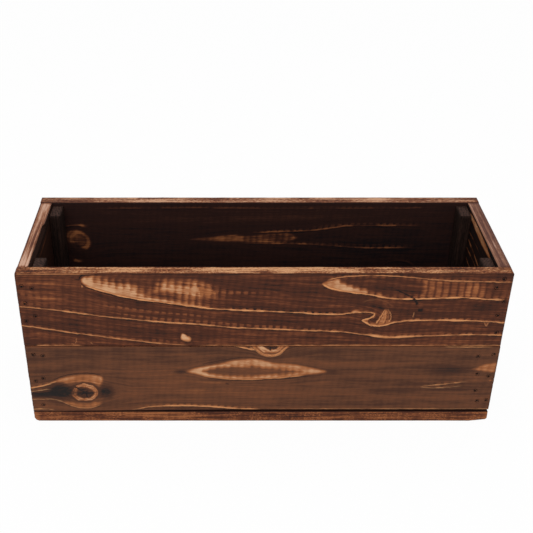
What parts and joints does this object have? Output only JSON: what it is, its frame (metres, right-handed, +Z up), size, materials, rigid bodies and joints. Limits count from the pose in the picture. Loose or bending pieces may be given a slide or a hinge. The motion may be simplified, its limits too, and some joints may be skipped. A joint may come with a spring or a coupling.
{
  "type": "window box planter",
  "caption": "Long rectangular window box planter of torched softwood boards, open at the top, nailed at the corners.",
  "frame": {"origin": "middle of the footprint, on the ground", "axes": "+X along the front from left to right, +Y from the front to the back, +Z up"},
  "size_m": [0.508, 0.168, 0.196],
  "materials": {
    "torched_wood": "torched, brushed and sealed, satin",
    "post_wood": "charred, matte",
    "brad_steel": "heat-darkened"
  },
  "bodies": {
    "root": {"front_board_upper": "torched_wood", "front_board_lower": "torched_wood", "back_board_upper": "torched_wood", "back_board_lower": "torched_wood", "left_end_board_upper": "torched_wood", "left_end_board_lower": "torched_wood", "right_end_board_upper": "torched_wood", "right_end_board_lower": "torched_wood", "base_board_front": "torched_wood", "base_board_back": "torched_wood", "post_front_left": "post_wood", "post_front_right": "post_wood", "post_back_left": "post_wood", "post_back_right": "post_wood", "brads_front_left": "brad_steel", "brads_front_right": "brad_steel", "brads_back_left": "brad_steel", "brads_back_right": "brad_steel", "brads_left_end": "brad_steel", "brads_right_end": "brad_steel", "brads_base": "brad_steel"}
  },
  "joints": []
}
